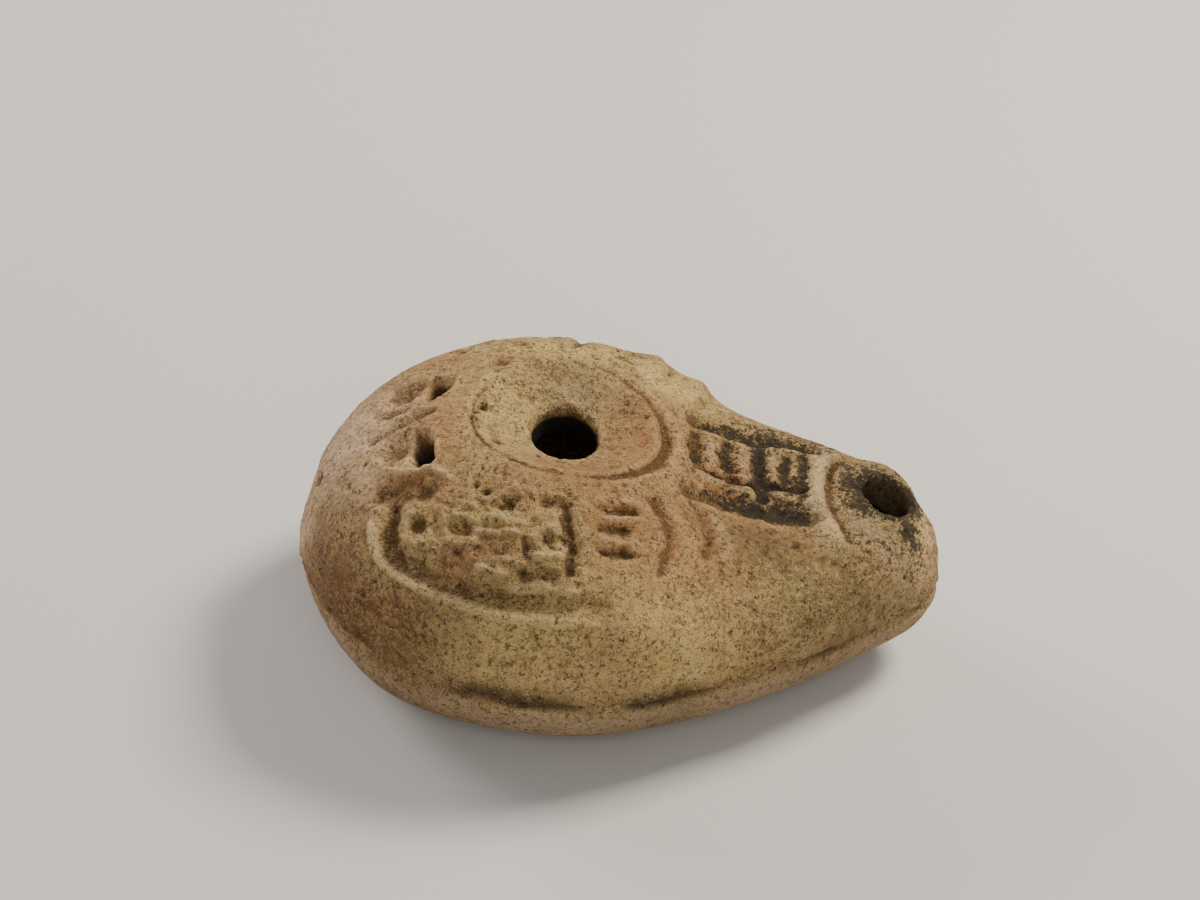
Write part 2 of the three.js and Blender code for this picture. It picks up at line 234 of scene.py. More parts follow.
# The potter's mould gave each shoulder a framed panel of strokes and blocks, and two arcs beside it.
# The clay is cut into and swollen along paths drawn in plan. The marks are worn, so their edges are
# soft and ragged, and the far side repeats them more faintly.
LATTICE = 48
LATTICE_SHIFT = 500


def clay_noise(points, size, seed):
    """Smooth noise from -1 to 1: random values on a cubic lattice of this size, joined by smooth
    steps."""
    lattice = np.random.default_rng(seed).uniform(-1, 1, (LATTICE, LATTICE, LATTICE))
    spot = points / size + LATTICE_SHIFT
    cell = np.floor(spot).astype(int)
    part = spot - cell
    part = part * part * (3 - 2 * part)
    total = 0
    for corner in np.ndindex(2, 2, 2):
        at = (cell + corner) % LATTICE
        weight = np.prod(np.where(corner, part, 1 - part), -1)
        total = total + weight * lattice[at[..., 0], at[..., 1], at[..., 2]]
    return total


coarse = clay_noise(body, size=3.4, seed=1)
medium = clay_noise(body, size=1.3, seed=2)
fine = clay_noise(body, size=0.6, seed=3)
ragged = 0.2 * coarse + 0.2 * medium + 0.1 * fine


def rounded(path, passes=2):
    """Corner cutting: each pass puts two points a quarter of the way in on every side of the path."""
    path = np.array(path, float)
    for _ in range(passes if len(path) > 2 else 0):
        near = path[:-1] * 0.75 + path[1:] * 0.25
        far = path[:-1] * 0.25 + path[1:] * 0.75
        path = np.concatenate([path[:1], np.stack([near, far], 1).reshape(-1, 2), path[-1:]])
    return path


def distance_to(path, at):
    """Least distance in space from each point to the path laid on the skin, and how far along it is."""
    path = rounded(path)
    path = np.concatenate([path, top_height(path[:, 0], path[:, 1])[:, None]], 1)
    lengths = np.linalg.norm(np.diff(path, axis=0), axis=1)
    total, start = lengths.sum(), 0.0
    best, along = np.full(at.shape[:-1], np.inf), np.zeros(at.shape[:-1])
    for begin, end, length in zip(path[:-1], path[1:], lengths):
        t = np.clip((at - begin) @ (end - begin) / length ** 2, 0, 1)
        away = np.linalg.norm(at - begin - t[..., None] * (end - begin), axis=-1)
        nearer = away < best
        best = np.where(nearer, away, best)
        along = np.where(nearer, (start + t * length) / total, along)
        start += length
    return best, along


def settled(values, passes):
    """The values averaged over each point's four neighbours on the grid, again and again."""
    for _ in range(passes):
        outward_in = np.concatenate([values[:1], values, values[-1:]])
        values = (outward_in[:-2] + outward_in[2:] + np.roll(values, 1, 1) + np.roll(values, -1, 1)) / 4
    return values


cuts = np.zeros(X.shape)
ribs = np.zeros(X.shape)
recess = np.zeros(X.shape)


def groove(path, width, depth, where=1.0, ends=0.0, at=body, soft=0.0, dirt=1.0):
    """Sinks a channel: full depth inside the soft part of its half width, none past its edge. Its ends
    narrow by a share of the width, and its recess is darkened with dirt and painted shade."""
    global cuts, recess
    away, along = distance_to(path, at)
    narrow = 1 - ends * np.abs(2 * along - 1) ** 2
    share = (away + ragged) / (width / 2 * narrow)
    shape = (1 - step(share, soft, 1.25)) * where * on_top
    cuts = np.minimum(cuts, -depth * shape)
    recess = np.maximum(recess, dirt * shape * min(1, depth))


def rib(path, width, height, where=1.0, at=body):
    """Raises a rounded ridge along the path, worn in places."""
    global ribs
    away, _ = distance_to(path, at)
    shape = (1 - step(away / (width / 2) + 0.5 * ragged, 0.1, 1.2)) * where * on_top
    ribs = np.maximum(ribs, height * shape * (1 + 0.5 * coarse))


def hollow(x0, y0, rx, ry, depth, turn=0.0, power=2.0, at=body, where=1.0):
    """Sinks an oval: depth times 1 - r^power, with r its own oval radius roughened by noise. The
    oval's length is taken along its turn in plan, and its width from what is left of the distance."""
    global cuts, recess
    offset = at - [x0, y0, float(top_height(np.array(x0), y0))]
    along = offset[..., 0] * math.cos(turn) + offset[..., 1] * math.sin(turn)
    across = np.sqrt(np.clip((offset ** 2).sum(-1) - along ** 2, 0, None))
    r = np.hypot(along / rx, across / ry) + 0.6 * ragged
    shape = np.clip(1 - np.clip(r, 0, 1) ** power, 0, 1) * where * on_top
    cuts = np.minimum(cuts, -depth * shape)
    recess = np.maximum(recess, shape * min(1, depth))


NEAR = step(-Y, -0.5, 0.5)
FAR_STRENGTH = 0.6
SHOULDERS = NEAR + FAR_STRENGTH * (1 - NEAR) * step(X, -25, -19)
FOLDED = np.stack([X, np.abs(Y), Z], -1)


def shoulder_groove(path, width, depth, where=SHOULDERS, **shape):
    """A groove on both shoulders, its path given as x and the distance out from the middle line."""
    groove(path, width, depth, where, at=FOLDED, **shape)


def shoulder_rib(path, width, height, where=SHOULDERS):
    """A ridge on both shoulders, its path given as x and the distance out from the middle line."""
    rib(path, width, height, where, FOLDED)


# The frame is a wide groove with a worn lip outside it, both fading towards the arcs.
FRAME_PATH = [[-30.6, 15.0], [-31.0, 18.2], [-30.5, 20.1], [-29.1, 22.4], [-25.6, 25.1], [-21.3, 27.4],
              [-17.3, 28.7], [-12.4, 29.6], [-7.6, 29.7], [-3.0, 29.5]]
FRAME_LIP = [[-33.2, 16.4], [-32.6, 20.1], [-30.4, 22.5], [-27.3, 25.1], [-23.9, 27.1], [-18.8, 29.3],
             [-14.9, 30.4], [-9.0, 30.9], [-4.8, 30.6]]
FRAME_CORNER = [[-32.4, 12.4], [-29.4, 13.4], [-26.6, 14.4]]
FRAME_FOLD = [[-29.6, 19.4], [-28.0, 21.2], [-25.8, 21.9]]
DIVIDER = [[-7.9, 19.0], [-6.9, 23.4], [-6.8, 27.0]]
fading = 1 - step(X, -16, -3) * 0.6
shoulder_groove(FRAME_PATH, 4.3, 1.45, SHOULDERS * fading, ends=0.2, dirt=0.5)
shoulder_rib(FRAME_LIP, 1.9, 0.85, SHOULDERS * fading)
shoulder_groove(FRAME_CORNER, 5.0, 1.3, ends=0.3, soft=0.1, dirt=0.4)
shoulder_rib(FRAME_FOLD, 1.2, 0.5)
shoulder_groove(DIVIDER, 1.8, 1.1, soft=0.2)

# Three strokes lie between the divider and the first arc, each with a low ridge above it.
STROKE_ENDS = [(18.4, 16.9), (21.3, 19.8), (24.2, 23.2)]
STROKE_RIDGE_GAP = 1.6
deeper = 0.6 + 0.4 * step(X, -3, 1)
for rear, front in STROKE_ENDS:
    shoulder_groove([[-3.0, rear - 0.1], [1.9, front]], 2.3, 1.3, SHOULDERS * deeper, ends=0.8)
    shoulder_rib([[-3.2, rear - STROKE_RIDGE_GAP], [2.0, front - STROKE_RIDGE_GAP]], 1.2, 0.25)

# Two arcs cross the shoulder, each with a low ridge on its nozzle side. A row is a path, its width and
# depth or height, and an arc's share of dirt and painted shade.
SHOULDER_ARCS = [([[3.9, 14.2], [5.5, 16.8], [6.2, 19.3], [5.6, 21.8], [5.1, 23.7]], 2.2, 0.85, 0.75),
                 ([[9.3, 11.3], [10.9, 13.6], [11.7, 16.3], [11.3, 18.6]], 3.0, 0.7, 0.7)]
ARC_RIDGES = [([[6.6, 15], [8.2, 17.4], [8.6, 20.2]], 2.4, 0.14),
              ([[11.9, 12.2], [13.6, 15.2], [13.9, 18.2]], 2.6, 0.16)]
for path, width, depth, dirt in SHOULDER_ARCS:
    shoulder_groove(path, width, depth, dirt=dirt)
for path, width, height in ARC_RIDGES:
    shoulder_rib(path, width, height)

# Worn cuts, raised blocks and dents fill the panel. A row is a path, its width, and its depth or
# height, or a dent's place, two radii and depth.
PANEL_CUTS = [
    ([[-22.8, 17.7], [-17.5, 19.1]], 1.9, 0.35), ([[-18.9, 24.5], [-14.7, 25.1]], 1.8, 0.45),
    ([[-12.9, 23.3], [-12.7, 25.8]], 1.3, 0.75), ([[-12.9, 27.6], [-8.7, 27.5]], 2.4, 0.8),
    ([[-10.9, 18.4], [-8.1, 18.6]], 1.2, 0.7), ([[-17.6, 19.3], [-13.2, 19.9]], 0.9, 0.3),
    ([[-25.3, 18], [-24.6, 21.4]], 1.4, 0.4), ([[-22.4, 20.8], [-19.9, 21.9]], 2.2, 0.55),
]
PANEL_BLOCKS = [
    ([[-19.2, 20.8], [-19.6, 24]], 1.2, 0.61), ([[-18.5, 22.5], [-13.6, 22.9]], 1.3, 0.54),
    ([[-11.7, 25.6], [-8, 25.4]], 1.4, 0.54), ([[-18.8, 26], [-15.7, 27.1]], 1.3, 0.47),
    ([[-13.9, 28.7], [-6, 28.6]], 1.4, 0.47), ([[-12.3, 20.5], [-8, 20.3]], 1.4, 0.41),
    ([[-23, 22.6], [-20, 22.9]], 0.9, 0.47), ([[-17.0, 21.0], [-13.2, 21.6]], 2.6, 0.47),
    ([[-21.2, 18.2], [-19.4, 18.6]], 1.6, 0.41), ([[-10.4, 22.2], [-8.6, 22.0]], 1.8, 0.41),
]
PANEL_DENT_POWER = 2.5
PANEL_DENTS = [
    (-27.2, 19.2, 1.5, 1.5, 1.1), (-18.3, 16.7, 0.9, 0.8, 0.8), (-15.4, 19.1, 1.7, 1.4, 1.1),
    (-9.5, 23.9, 1.5, 1.5, 0.7), (-21.7, 24.1, 1.0, 0.9, 0.5), (-21.9, 25.4, 3.0, 2.2, 0.35),
    (-27.0, 14.7, 1.8, 1.8, 1.2),
]
for path, width, depth in PANEL_CUTS:
    shoulder_groove(path, width, depth, soft=0.3, dirt=0.65)
for path, width, height in PANEL_BLOCKS:
    shoulder_rib(path, width, height)
for dent in PANEL_DENTS:
    hollow(*dent, power=PANEL_DENT_POWER, at=FOLDED, where=SHOULDERS)

# A ladder of cut panels fills the nozzle between long grooves, and a collar rings the wick hole.
# The collar is a worn raised band with a fine groove inside it, open towards the tip.
FAR_RAIL = [[9.5, 7.8], [14.2, 9.1], [19.8, 9.2], [25.6, 8.8]]
NEAR_RAIL = [[8.6, -9], [13.4, -7.6], [17.5, -7.2], [21.2, -7.5], [25.6, -7.4]]
LADDER_CUTS = [
    (FAR_RAIL, 3.8, 1.3), ([[11.4, 12], [15.8, 13.6], [20.3, 13.2]], 1.2, 0.4),
    ([[10.2, -3.0], [13.5, -2.2], [17.6, -1.9], [20.8, -1.6], [24.6, -2.0]], 2.0, 1.1),
    (NEAR_RAIL, 4.4, 1.3), ([[9.8, 4.9], [9.5, 1.5], [10.1, -2.6]], 2.6, 1.2),
    ([[14.3, 5.6], [13.8, 3], [14, 0.2]], 3.0, 1.0), ([[18.8, 7], [18.3, 3], [18.9, -4.6]], 2.2, 1.1),
    ([[22.4, 4.4], [21.9, 1.5], [22.2, -1.2]], 1.5, 0.7), ([[25, 5.5], [24.6, -1.5]], 1.8, 0.7),
]
LADDER_BARS = [
    ([[11.2, 6.0], [18, 6.8], [24, 6.6]], 1.2, 0.25), ([[10.2, -5.0], [14, -4.2], [17.4, -4.1]], 1.7, 0.4),
    ([[20, -3.9], [24.4, -4.2]], 1.7, 0.45), ([[11.8, 4.6], [11.6, -0.8]], 1.2, 0.2),
    ([[16.5, 5.6], [16.3, 0]], 1.4, 0.25), ([[20.4, 4.5], [20.3, 0.8]], 1.5, 0.35),
    ([[23.6, 4], [23.4, 1]], 1.2, 0.35),
]
COLLAR_PATH = [[29.6, 11.6], [27.9, 7.8], [26.6, 3.4], [26.1, 0.2], [26.3, -4.2], [27.6, -8.4],
               [29.8, -12.4]]
COLLAR_GROOVE = [[30.2, 6.6], [28.3, 2.6], [27.7, -1.4], [28.3, -5.1], [29.4, -7.9], [30.9, -10.4]]
for path, width, depth in LADDER_CUTS:
    groove(path, width, depth, soft=0.1)
for path, width, height in LADDER_BARS:
    rib(path, width, height)
collar_fade = (1 - step(-Y, 8.0, 14.5)) * (1 - step(Y, 6.5, 12.0))
rib(COLLAR_PATH, 4.8, 0.65, collar_fade)
groove(COLLAR_GROOVE, 2.3, 0.85, 0.4 + 0.6 * collar_fade, ends=0.5, soft=0.1)

# The handle was a pinched lug at the rear. It broke off and left two deep pits with sloping pockets
# behind them, a sharp crest between the pockets, and scuffed hollows round about. A row is a place,
# two radii, a depth and a turn, and for the pits the power that makes their walls steep.
SCAR_PITS = [(-28.0, -5.9, 2.1, 4.4, 4.8, 0.12, 2.6), (-26.9, 8.0, 2.5, 3.1, 4.4, -0.3, 2.4)]
SCUFFS = [
    (-30.8, -4.4, 3.8, 4.0, 1.7), (-30.9, 8.8, 4.2, 3.2, 1.5, 0.25), (-32.6, 5.0, 4.2, 3.0, 0.9, -0.5),
    (-42.2, 1.6, 3.0, 1.2, 1.3, 1.95), (-37.4, -7.2, 1.4, 0.6, 0.7, 0.9), (-23.5, 18.6, 2.0, 1.3, 0.8, 0.2),
    (-18, 12.6, 1.7, 1.6, 0.8), (-14.5, 17.3, 1.4, 1.0, 0.8), (-12.1, 15.4, 1.0, 0.8, 0.4),
    (-7.7, 17.3, 1.6, 0.9, 0.5), (-19.6, 2.2, 1.15, 1.0, 1.5, 0.3), (-20.6, 0.6, 1.1, 0.7, 0.9, 0.2),
    (-17.4, -5.2, 1.2, 0.8, 0.9, 0.6), (-0.5, 19.6, 1.5, 0.8, 0.3),
]
for dent in SCAR_PITS + SCUFFS:
    hollow(*dent)
groove([[-35.4, -0.2], [-33.0, 0.9], [-30.0, 1.9], [-27.0, 2.4]], 3.4, 1.1, ends=0.6, dirt=0.5)
groove([[-34.6, -6.4], [-32.8, -6.9], [-31.4, -6.4]], 0.8, 0.35, ends=0.6)
rib([[-33.8, 3.1], [-32.4, 3.3], [-30.8, 3.2]], 0.9, 0.6)
rib([[-32.2, -8.4], [-30.2, -10.0], [-28.2, -10.7], [-26.2, -10.6], [-23.4, -13.4]], 1.2, 1.0)

# The dish drops from its ring groove to the filling hole. The ring is wide towards the nozzle and
# hardly more than a crack elsewhere, and the rims of both holes are rounded by wear.
RING_X = -7.9
RING_RADIUS = 13.4
OUTER_RING_RADIUS = 16.2
OUTER_RING_DEPTH = 0.35
HOLE_SHIFT = 0.5
HOLE_Y = 1.1
HOLE_OVAL = 1.22
HOLE_FILLET = 0.6
WICK_RADIUS = 3.5
WICK_OVAL = 1.16
WICK_FILLET = 0.8
from_ring = np.abs(np.hypot(X - RING_X, Y) - RING_RADIUS + 0.7 * ragged)
bearing = np.arctan2(Y, X - RING_X)
to_right = (0.5 + 0.5 * np.cos(bearing)) ** 2
to_far = step(np.sin(bearing), -0.2, 0.9)
ring_depth = (0.75 + 0.4 * to_right) * (1 - 0.65 * to_far * (1 - 0.5 * to_right))
cracked = np.clip(0.7 + 1.1 * coarse + 0.5 * medium, 0.15, 1.3) * (1 - to_right) + to_right
ring = (1 - step(from_ring / (0.45 + 0.65 * to_right + 0.15 * to_far), 0.2, 1.35)) * on_top
from_outer_ring = np.abs(np.hypot(X - HOLE_X, Y) - OUTER_RING_RADIUS)
outer_ring = OUTER_RING_DEPTH * (1 - step(from_outer_ring, 0.3, 1.6)) * step(Y, 2, 8) * on_top
rings = np.maximum(ring_depth * cracked * ring, outer_ring)
cuts = np.minimum(cuts, -rings)
recess = np.maximum(recess, rings)


def rim_fall(distance, fillet):
    """Quarter-round fall towards a hole's edge, for points this far outside it."""
    inside = np.clip(1 - distance / fillet, 0, 1)
    return -fillet * (1 - np.sqrt(np.clip(1 - inside ** 2, 0, 1)))


from_hole = np.hypot(X - HOLE_X + HOLE_SHIFT, (Y - HOLE_Y) / HOLE_OVAL) - HOLE_RADIUS
from_wick = np.hypot(X - WICK_X, (Y - WICK_Y) / WICK_OVAL) - WICK_RADIUS
holes = np.minimum(rim_fall(from_hole, HOLE_FILLET), rim_fall(from_wick, WICK_FILLET)) * on_top

# Years in the ground roughened the clay: it is softly uneven all over and crumbled on the panels.
# The upper half overhangs the lower one at the seam, whose lip is worn and gapes here and there. A
# row of crumbled places is a strength, a place in plan and two radii.
CRUMBLED_PLACES = [(1.0, -15, -21, 13, 6), (0.7, 18, 0, 9, 7), (0.8, 35, 0, 7, 8)]
UNDERCUT = 0.6
crumbled = sum(strength * np.exp(-((X - x0) / rx) ** 2 - ((Y - y0) / ry) ** 2)
               for strength, x0, y0, rx, ry in CRUMBLED_PLACES) * on_top
uneven = (0.25 * clay_noise(body, size=11.0, seed=4) + 0.08 * coarse * (1 + 1.5 * crumbled)
          + 0.07 * medium * (1 + 3.5 * crumbled) + 0.07 * fine * (1 + 4 * crumbled))
ragged_lip = clay_noise(body, size=3.0, seed=5) + 0.6 * coarse
over_seam = Z - SEAM_HEIGHT
lip_worn = (0.2 * ragged_lip + 0.16 * medium) * (1 - step(np.abs(over_seam), 0.0, 1.4))
rear_gap = 0.85 * np.exp(-((X + 13) / 7.5) ** 2)
middle_gap = 0.8 * np.exp(-((X - 7) / 5.5) ** 2)
nozzle_gap = 0.35 * np.exp(-((X - 29) / 5) ** 2)
seam_open = 0.22 + NEAR * (rear_gap + middle_gap + nozzle_gap) + 0.35 * ragged_lip
under_lip = (1 - step(np.abs(over_seam + 1.25), 0.35, 1.25)) * np.clip(seam_open, 0, 1.2) * (1 - on_top)

# Here and there the real body is fuller or leaner than the plain egg. A row is a place in plan, two
# radii, a turn, the rise, and the heights between which it acts.
FULL_PLACES = [
    (-35.5, 13.5, 15.0, 8.0, 0.76, 1.15, 12, 60), (4.2, 22.8, 2.8, 6.0, 0.0, 1.1, 14, 60),
    (10.2, 21.0, 1.9, 5.0, 0.0, 1.05, 14, 60), (22.0, 18.0, 11.0, 4.0, -0.45, -0.45, 14, 60),
    (37.0, 7.6, 3.2, 3.4, 0.0, 0.8, 14, 60), (42.6, 3.8, 2.2, 3.4, 0.0, -0.8, 15, 60),
    (44.4, -2.0, 3.4, 6.0, 0.0, -0.5, 15, 60), (-29.5, -23.0, 11.0, 6.0, -0.6, 0.85, 1, 12),
]
FULL_FADE = 3


def oval_radius(x0, y0, rx, ry, turn):
    """Distance from a place in plan in units of a turned oval's two radii."""
    c, s = math.cos(turn), math.sin(turn)
    return np.hypot(((X - x0) * c + (Y - y0) * s) / rx, ((Y - y0) * c - (X - x0) * s) / ry)


full = np.zeros(X.shape)
for x0, y0, rx, ry, turn, rise, bottom, ceiling in FULL_PLACES:
    band = step(Z, bottom, bottom + FULL_FADE) * (1 - step(Z, ceiling - FULL_FADE, ceiling))
    full += rise * np.exp(-oval_radius(x0, y0, rx, ry, turn) ** 2) * band
full *= step(X, -44.6, -41.5)
chin = 0.85 * (1 - on_top) * step(Z, 2, 9)
waist = 0.6 * np.exp(-(over_seam / 1.5) ** 2)
full += step(X, 33, 42) * (chin - waist)

# Small pores are pressed into the skin at random places, most of them fine and a few larger.
PORE_COUNT = 300
PORE_DEPTH = 0.8
SMALLEST_PORE = 0.3
PORE_SPREAD = 0.4
FIRST_PORE_RING = 20
RINGS_UNDER_PORES = 12
draw = np.random.default_rng(7)
pores = np.zeros(X.shape)
flat = body.reshape(-1, 3)
first_point = SPOKES * FIRST_PORE_RING
last_point = SPOKES * (len(body) - RINGS_UNDER_PORES)
spots = flat[draw.integers(first_point, last_point, PORE_COUNT)]
sizes = SMALLEST_PORE + PORE_SPREAD * draw.random(PORE_COUNT) ** 3
for spot, size in zip(spots, sizes):
    near = np.nonzero(np.abs(flat - spot).max(-1) < 2 * size)[0]
    r = np.linalg.norm(flat[near] - spot, axis=-1) / size
    pores.flat[near] = np.maximum(pores.flat[near], (1 - step(r, 0.2, 1.2)) * size)

# The carving is eased a little, laid over the body with the wear, and kept inside the solid's box.
# The last two rings are the foot and the sole, which stay flat.
BOX_MARGIN = 0.01
relief = (settled(cuts + ribs, 2) + holes + full + uneven + lip_worn - UNDERCUT * under_lip
          - PORE_DEPTH * pores)
relief[-2:] = 0
body = body + outward * relief[..., None]
body = np.clip(body, low / MM + BOX_MARGIN, high / MM - BOX_MARGIN)


# Firing, oil and burial left their colours on the clay: soot about the wick and in the ladder, red where
# the skin is broken, a pale rear, and dirt in every hollow. Light and shade are painted in as well: painted
# shade in hollows, deep cuts, along the seam and in brown patches, and painted light on crests, the seam's
# lip, cream patches, the rear's end and the tip. Each is a layer of numbers on the mesh. A row of patches
# is a strength, a place in plan, two radii and a turn.
def patch(x0, y0, rx, ry, turn=0.0, side=on_top):
    """A soft oval patch: e to the minus r squared, its edge pushed about by noise."""
    r = oval_radius(x0, y0, rx, ry, turn)
    return np.exp(-np.clip(r + 0.35 * coarse + 0.15 * medium, 0, None) ** 2) * side


def together(patches, *others, side=on_top):
    """The strongest of some patches and other layers at each point."""
    colour_layers = [strength * patch(*place, side=side) for strength, *place in patches]
    return np.clip(np.maximum.reduce([*colour_layers, *others]), 0, 1)


SOOT_PATCHES = [
    (0.3, 14, 0, 6, 8), (0.6, 9.9, 1.4, 1.5, 3.6), (0.85, 30.8, 2.0, 2.4, 5.0), (1.0, 34.2, 2.6, 3.2, 3.4),
    (1.05, 32.6, -3.8, 2.8, 2.1), (0.4, 32.0, -2, 3.0, 6), (0.3, 34.5, -9.0, 3.0, 1.8),
    (0.95, 39.4, -5.6, 2.2, 2.6, -0.6), (0.45, 40.4, -8.4, 1.0, 1.8, 0.3), (0.5, 40.5, 2, 2.6, 4),
    (0.3, 32.2, -9.4, 1.2, 1.6),
]
ROSE_PATCHES = [
    (0.6, -14, -18, 10, 4.5), (0.65, -18, -23.5, 8, 3.2), (0.9, -28.5, -11.5, 4.5, 2.2),
    (0.7, -24.5, -16, 3, 3), (1.0, 2, -19.5, 7.5, 7.5), (1.0, 9.5, -15.5, 6.5, 7), (1.0, 3.2, -0.5, 5.5, 9),
    (0.8, -5, -13.5, 9, 4), (0.7, -4, -9.5, 7, 3), (0.8, 8, -18.5, 4, 5), (0.9, 17, -12.3, 7.5, 3.4, -0.1),
    (1.0, 14, -1, 9, 7), (0.9, -26, -2, 5, 9), (0.8, -29.5, 8, 5, 5), (1.0, -18, 12.6, 1.8, 1.7),
    (0.5, -24, 15, 5, 3), (0.5, 7, 6, 4, 7),
]
BROKEN_PATCHES = [(0.85, -21.2, -24.9, 3.3, 1.7, -0.15), (0.5, -16.2, -15.4, 2.6, 1.2)]
OLIVE_PATCHES = [
    (1.0, 18.4, -13.8, 8, 3.6, -0.1), (1.0, 24, -17.5, 9, 4.2, -0.35), (0.9, 32, -15, 6, 2.8, -0.5),
]
OLIVE_BELOW = [(0.6, 6.5, -28.5, 5.5, 3.6), (0.45, 30, -17, 6, 5)]
# Brown patches painted as shade: the lens hollow, the dish's bottom and right slope, and spots by the arcs,
# the near rail and the nozzle.
BROWN_SHADE_PATCHES = [
    (1.0, -29.6, -13.8, 3.8, 1.9, -0.3), (0.48, -3.6, -8.2, 7.0, 3.2), (0.3, 1.2, 2.5, 3.6, 6.0),
    (0.42, 8.7, -14.7, 4.0, 3.6), (0.42, 15.0, -4.8, 5.0, 1.7), (0.5, 18.4, -13.0, 5.5, 2.6),
]
# Brown tone and painted shade low on the near rear flank, below the seam.
BROWN_AND_SHADE_BELOW = [(0.5, -24, -25, 7.0, 5.0)]
# A pale pinkish rear, and painted rim light in a strip along its end.
BLUSH_AND_RIM_LIGHT_PATCHES = [(1.0, -38.5, 3.5, 7.5, 9.0), (0.5, -36, -7, 4, 5), (0.75, -43.8, -2, 2.4, 9)]
# Cream tone, and painted light on the dish's left slope and bright places on the near flank.
CREAM_AND_LIGHT_PATCHES = [
    (1.0, 5.5, 14.5, 7, 5), (0.9, -16.5, -21.6, 8.5, 4.2), (0.6, -9.5, -24.5, 4, 3.5),
    (0.8, -9, 17, 13, 3.5), (0.65, -18.5, 3, 6, 8.5), (1.0, 8, -28.3, 12, 4.2, -0.1),
    (0.7, 6, -29.5, 6, 3), (0.55, -10, -31, 13, 2.5), (0.6, 24, -19, 8, 3, -0.5),
    (0.55, -28, -15, 3, 8, 0.5),
]
ASHEN_PATCHES = [(0.8, 32.4, -7.2, 2.6, 2.2), (0.55, 35.5, -8.5, 4.5, 2.5), (0.5, -8, 8.5, 5, 2.2)]
# A pale tip, partly painted light on the side that faces the key.
TIP_PALE_AND_LIT_PATCHES = [(1.0, 42.6, -5.5, 2.6, 6), (0.6, 43.5, 3, 2, 4)]

cavity = relief - settled(relief, 12)
collar_away, _ = distance_to(COLLAR_PATH, body)
far_rail_away, _ = distance_to(FAR_RAIL, body)
near_rail_away, _ = distance_to(NEAR_RAIL, body)
before_collar = 1 - step(X, 24.8, 26.6)
in_ladder = step(X, 10, 18) * (1 - step(X, 24.6, 26.4)) * (1 - step(np.abs(Y - 0.6), 8.2, 11.2))
by_ladder = step(X, 8.5, 12) * (1 - step(X, 17, 19)) * (1 - step(np.abs(Y - 1.5), 8.5, 10.5))
beyond_ladder = step(X, 10, 20) * (1 - step(X, 27, 34)) * (1 - step(np.abs(Y - 10.5), 2.5, 5))
wick_away = np.hypot(X - WICK_X, Y - WICK_Y)
# Painted shade on the near rear flank above the seam.
rear_flank_shade = step(-X, 18, 33) * step(-Y, 3, 12) * (1 - step(Z, 20, 26.5)) * step(Z, 12.6, 13.4)
# Painted shade along the seam: in its gap, and under the lip on the near side towards the rear.
seam_gap = (1 - step(np.abs(over_seam + 0.9), 0.5, 1.9)) * np.clip(seam_open, 0, 1)
seam_shadow = (0.9 * NEAR * (1 - step(np.abs(X + 14.5), 4, 9.5))
               * (1 - step(np.abs(over_seam - 0.2 + 0.8 * coarse), 0.5, 2.8)))
# A painted highlight along the top of the seam's lip on the near side.
seam_lip_highlight = (0.9 * NEAR * step(X, -20, -10) * (1 - step(np.abs(over_seam - 0.9 - 0.5 * medium), 0.2, 0.9))
            * (0.6 + 0.5 * ragged_lip) * on_top)
colour_layers = {
    "cavity": cavity,
    "recess": recess,
    # The seam layer is painted shade with dirt in the gap, the pit layer painted shade and dirt in deep
    # cuts, and the crest layer wear and painted highlight.
    "seam": np.maximum(seam_gap, seam_shadow),
    "pit_shade_and_dirt": step(-cuts, 1.6, 3.6),
    "worn_crest_and_highlight": together([(0.6, -16.3, -21.2, 2.6, 1.3)], settled(ribs, 1) * 1.3, seam_lip_highlight),
    "crumbled": np.clip(crumbled, 0, 1),
    "soot": together(
        SOOT_PATCHES, in_ladder * (0.6 + 0.45 * recess - 1.3 * np.clip(cavity, 0, 0.4)),
        0.75 * by_ladder * recess, 0.6 * beyond_ladder, 0.9 * (1 - step(wick_away, 3.9, 7.0)),
        0.97 * (1 - step(far_rail_away, 0.8, 2.7)) * step(X, 10, 15) * before_collar,
        0.8 * (1 - step(near_rail_away, 1.0, 3.2)) * step(X, 9, 18) * before_collar) * on_top,
    "rose": together(ROSE_PATCHES),
    "broken": together(BROKEN_PATCHES),
    "olive": np.maximum(together(OLIVE_PATCHES), together(OLIVE_BELOW, side=1 - on_top)),
    "belly": (1 - on_top) * step(0.8 * coarse - over_seam, 0.6, 4.0) * (0.4 + 0.45 * NEAR),
    "brown_and_shade": np.maximum(together(BROWN_SHADE_PATCHES, rear_flank_shade), together(BROWN_AND_SHADE_BELOW, side=1 - on_top)),
    "blush_and_rim_light": together(BLUSH_AND_RIM_LIGHT_PATCHES),
    "cream_and_light": together(CREAM_AND_LIGHT_PATCHES),
    "ashen": together(ASHEN_PATCHES, 1.1 * (1 - step(collar_away, 0.7, 2.3)) * collar_fade
                      * (1 - 0.6 * step(-Y, 4.5, 9.0)) * on_top),
    "tip": together(TIP_PALE_AND_LIT_PATCHES),
}


def with_poles(values):
    """The grid's values in the order of the mesh's points, whose first and last close the ends."""
    return np.concatenate([values[:1, 0], values.ravel(), values[-1:, 0]]).astype(np.float32)


lamp = closed_mesh("lamp", body)
for name, values in colour_layers.items():
    layer = lamp.data.attributes.new(name, "FLOAT", "POINT")
    layer.data.foreach_set("value", with_poles(values))

